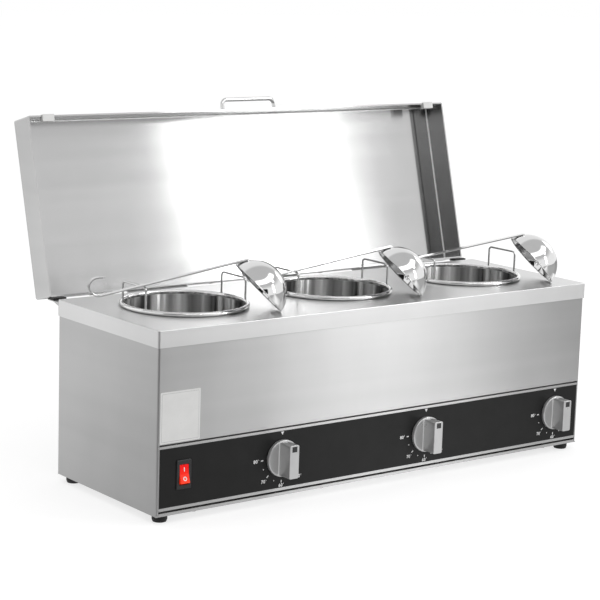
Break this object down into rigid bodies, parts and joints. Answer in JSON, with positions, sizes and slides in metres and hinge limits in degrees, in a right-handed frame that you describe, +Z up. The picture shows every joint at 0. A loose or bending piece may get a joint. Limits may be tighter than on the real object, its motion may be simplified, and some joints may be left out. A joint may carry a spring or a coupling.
{
  "type": "hot topping warmer",
  "caption": "Countertop topping warmer: brushed steel box with round lift-out pots in a row, ladles, a hinged lid folded open, dial knobs and a rocker switch.",
  "frame": {"origin": "on the floor, under the middle of the whole outline with the lid open and the ladles in place", "axes": "+X to the right along the row of pots, +Y from the control panel to the hinge, +Z up"},
  "size_m": [0.7626, 0.3934, 0.4992],
  "materials": {
    "brushed_sheet": "brushed",
    "satin_steel": "satin",
    "polished_steel": "polished",
    "mirror_steel": "mirror polished",
    "plain_steel": "plain",
    "black_rubber": "matt",
    "black_overlay": "satin",
    "black_plastic": "satin",
    "white_film": "satin film",
    "red_plastic": "translucent gloss",
    "mineral_wool": "fibrous",
    "white_plastic": "plain",
    "wire_sleeve": "braided",
    "copper_tube": "drawn",
    "mica_band": "dull",
    "white_silicone": "smooth",
    "silver_plastic": "silver satin"
  },
  "bodies": {
    "case": {"case_shell": "brushed_sheet", "rear_panel": "brushed_sheet", "base_pan": "brushed_sheet", "feet": "black_rubber", "foot_screws": "plain_steel", "case_screws": "plain_steel", "top_cover": "brushed_sheet", "control_panel": "brushed_sheet", "panel_overlay": "black_overlay", "label_plate": "white_film", "rocker_housing": "black_plastic", "thermostat_screws": "plain_steel", "insulation_block": "mineral_wool", "hinge_fixed_leaf": "brushed_sheet", "hinge_pin": "brushed_sheet", "cover_rivets": "plain_steel", "lid_stop_brackets": "brushed_sheet", "lid_stop_pads": "black_rubber", "cord_gland": "black_plastic", "terminal_block": "white_plastic", "wiring_loom": "wire_sleeve", "thermostat_1": "black_plastic", "capillary_1": "copper_tube", "heat_well_1": "satin_steel", "band_heater_1": "mica_band", "thermostat_2": "black_plastic", "capillary_2": "copper_tube", "heat_well_2": "satin_steel", "band_heater_2": "mica_band", "thermostat_3": "black_plastic", "capillary_3": "copper_tube", "heat_well_3": "satin_steel", "band_heater_3": "mica_band"},
    "lid": {"lid_pan": "brushed_sheet", "lid_handle": "satin_steel", "lid_bumpers": "white_silicone", "hinge_moving_leaf": "brushed_sheet", "lid_rivets": "plain_steel"},
    "power_switch": {"rocker": "red_plastic"},
    "pot_body_1": {"pot_1": "polished_steel", "pot_loops_1": "polished_steel"},
    "ladle_1": {"ladle_bowl_1": "mirror_steel", "ladle_handle_1": "mirror_steel"},
    "dial_1": {"knob_1": "silver_plastic", "knob_insert_1": "black_plastic", "thermostat_shaft_1": "plain_steel"},
    "pot_body_2": {"pot_2": "polished_steel", "pot_loops_2": "polished_steel"},
    "ladle_2": {"ladle_bowl_2": "mirror_steel", "ladle_handle_2": "mirror_steel"},
    "dial_2": {"knob_2": "silver_plastic", "knob_insert_2": "black_plastic", "thermostat_shaft_2": "plain_steel"},
    "pot_body_3": {"pot_3": "polished_steel", "pot_loops_3": "polished_steel"},
    "ladle_3": {"ladle_bowl_3": "mirror_steel", "ladle_handle_3": "mirror_steel"},
    "dial_3": {"knob_3": "silver_plastic", "knob_insert_3": "black_plastic", "thermostat_shaft_3": "plain_steel"}
  },
  "joints": [
    {"name": "lid_hinge", "type": "hinge", "parent": "case", "child": "lid", "pos_m": [0.01127, 0.08309, 0.2398], "axis": [-1, 0, 0], "range_deg": [-104.9, 0]},
    {"name": "pot_lift_1", "type": "slide", "parent": "case", "child": "pot_body_1", "axis": [0, 0, 1], "range_m": [0, 0.2]},
    {"name": "ladle_lift_1", "type": "slide", "parent": "pot_body_1", "child": "ladle_1", "axis": [0, -0.6, 0.8], "range_m": [0, 0.45]},
    {"name": "dial_turn_1", "type": "hinge", "parent": "case", "child": "dial_1", "pos_m": [-0.16323, -0.17021, 0.061], "axis": [0, 1, 0], "range_deg": [0, 270]},
    {"name": "pot_lift_2", "type": "slide", "parent": "case", "child": "pot_body_2", "axis": [0, 0, 1], "range_m": [0, 0.2]},
    {"name": "ladle_lift_2", "type": "slide", "parent": "pot_body_2", "child": "ladle_2", "axis": [0, -0.6, 0.8], "range_m": [0, 0.45]},
    {"name": "dial_turn_2", "type": "hinge", "parent": "case", "child": "dial_2", "pos_m": [0.08427, -0.17021, 0.061], "axis": [0, 1, 0], "range_deg": [0, 270]},
    {"name": "pot_lift_3", "type": "slide", "parent": "case", "child": "pot_body_3", "axis": [0, 0, 1], "range_m": [0, 0.2]},
    {"name": "ladle_lift_3", "type": "slide", "parent": "pot_body_3", "child": "ladle_3", "axis": [0, -0.6, 0.8], "range_m": [0, 0.45]},
    {"name": "dial_turn_3", "type": "hinge", "parent": "case", "child": "dial_3", "pos_m": [0.33177, -0.17021, 0.061], "axis": [0, 1, 0], "range_deg": [0, 270]},
    {"name": "switch_rock", "type": "hinge", "parent": "case", "child": "power_switch", "pos_m": [-0.31773, -0.16811, 0.061], "axis": [1, 0, 0], "range_deg": [0, 20]}
  ],
  "couplings": [
    {"joint": "ladle_lift_1", "follows": "lid_hinge", "m_per_rad": -0.2455},
    {"joint": "ladle_lift_2", "follows": "lid_hinge", "m_per_rad": -0.2455},
    {"joint": "ladle_lift_3", "follows": "lid_hinge", "m_per_rad": -0.2455}
  ]
}
